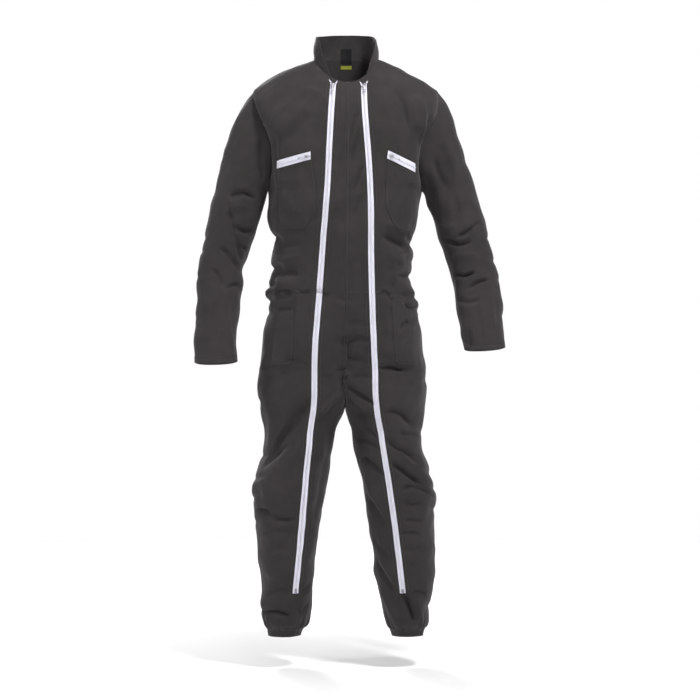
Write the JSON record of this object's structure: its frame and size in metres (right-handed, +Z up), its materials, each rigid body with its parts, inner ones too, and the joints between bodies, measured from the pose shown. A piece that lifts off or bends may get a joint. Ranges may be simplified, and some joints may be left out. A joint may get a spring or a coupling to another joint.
{
  "type": "boiler suit",
  "caption": "Charcoal cotton boiler suit, filled out as worn, with long zips from the neck down both legs, chest and hip pockets, a stand collar and elastic ankles.",
  "frame": {"origin": "between the wearer's shoulders, level with the side of the neck where the collar joins them", "axes": "+Z up along the wearer, -Y to the front, +X to the wearer's left"},
  "size_m": [0.797, 0.2818, 1.5678],
  "materials": {
    "twill": "matte cotton twill",
    "zip_tape": "matte woven tape",
    "slider": "satin",
    "label": "woven satin",
    "label_strip": "woven satin"
  },
  "bodies": {
    "suit": {"centre_front_right": "twill", "centre_front_left": "twill", "side_front_right": "twill", "side_front_left": "twill", "upper_back": "twill", "waist_casing": "twill", "sleeve_right": "twill", "sleeve_left": "twill", "collar": "twill", "inner_leg_front_right": "twill", "inner_leg_front_left": "twill", "outer_leg_front_right": "twill", "outer_leg_front_left": "twill", "leg_back_right": "twill", "leg_back_left": "twill", "ankle_band_right": "twill", "ankle_band_left": "twill", "chest_pocket_right": "twill", "chest_pocket_left": "twill", "hip_pocket_right": "twill", "hip_pocket_left": "twill", "long_zip_right": "zip_tape", "long_zip_left": "zip_tape", "pocket_zip_right": "zip_tape", "pocket_zip_left": "zip_tape", "neck_label": "label", "label_strip": "label_strip", "long_slider_right": "slider", "long_slider_left": "slider", "pocket_slider_right": "slider", "pocket_slider_left": "slider"},
    "long_tab_right": {"long_pull_right": "slider"},
    "long_tab_left": {"long_pull_left": "slider"},
    "pocket_tab_right": {"pocket_pull_right": "slider"},
    "pocket_tab_left": {"pocket_pull_left": "slider"}
  },
  "joints": [
    {"name": "long_tab_right_flip", "type": "hinge", "parent": "suit", "child": "long_tab_right", "pos_m": [-0.03381, -0.08994, -0.05843], "axis": [-0.9987, -0.0118, 0.0499], "range_deg": [0, 150]},
    {"name": "long_tab_left_flip", "type": "hinge", "parent": "suit", "child": "long_tab_left", "pos_m": [0.04617, -0.09005, -0.05897], "axis": [-0.9985, -0.0455, -0.03], "range_deg": [0, 150]},
    {"name": "pocket_tab_right_flip", "type": "hinge", "parent": "suit", "child": "pocket_tab_right", "pos_m": [-0.10129, -0.1328, -0.24594], "axis": [-0.2298, 0.0893, 0.9691], "range_deg": [0, 150]},
    {"name": "pocket_tab_left_flip", "type": "hinge", "parent": "suit", "child": "pocket_tab_left", "pos_m": [0.1174, -0.1291, -0.24526], "axis": [-0.3963, -0.1092, -0.9116], "range_deg": [0, 150]}
  ]
}
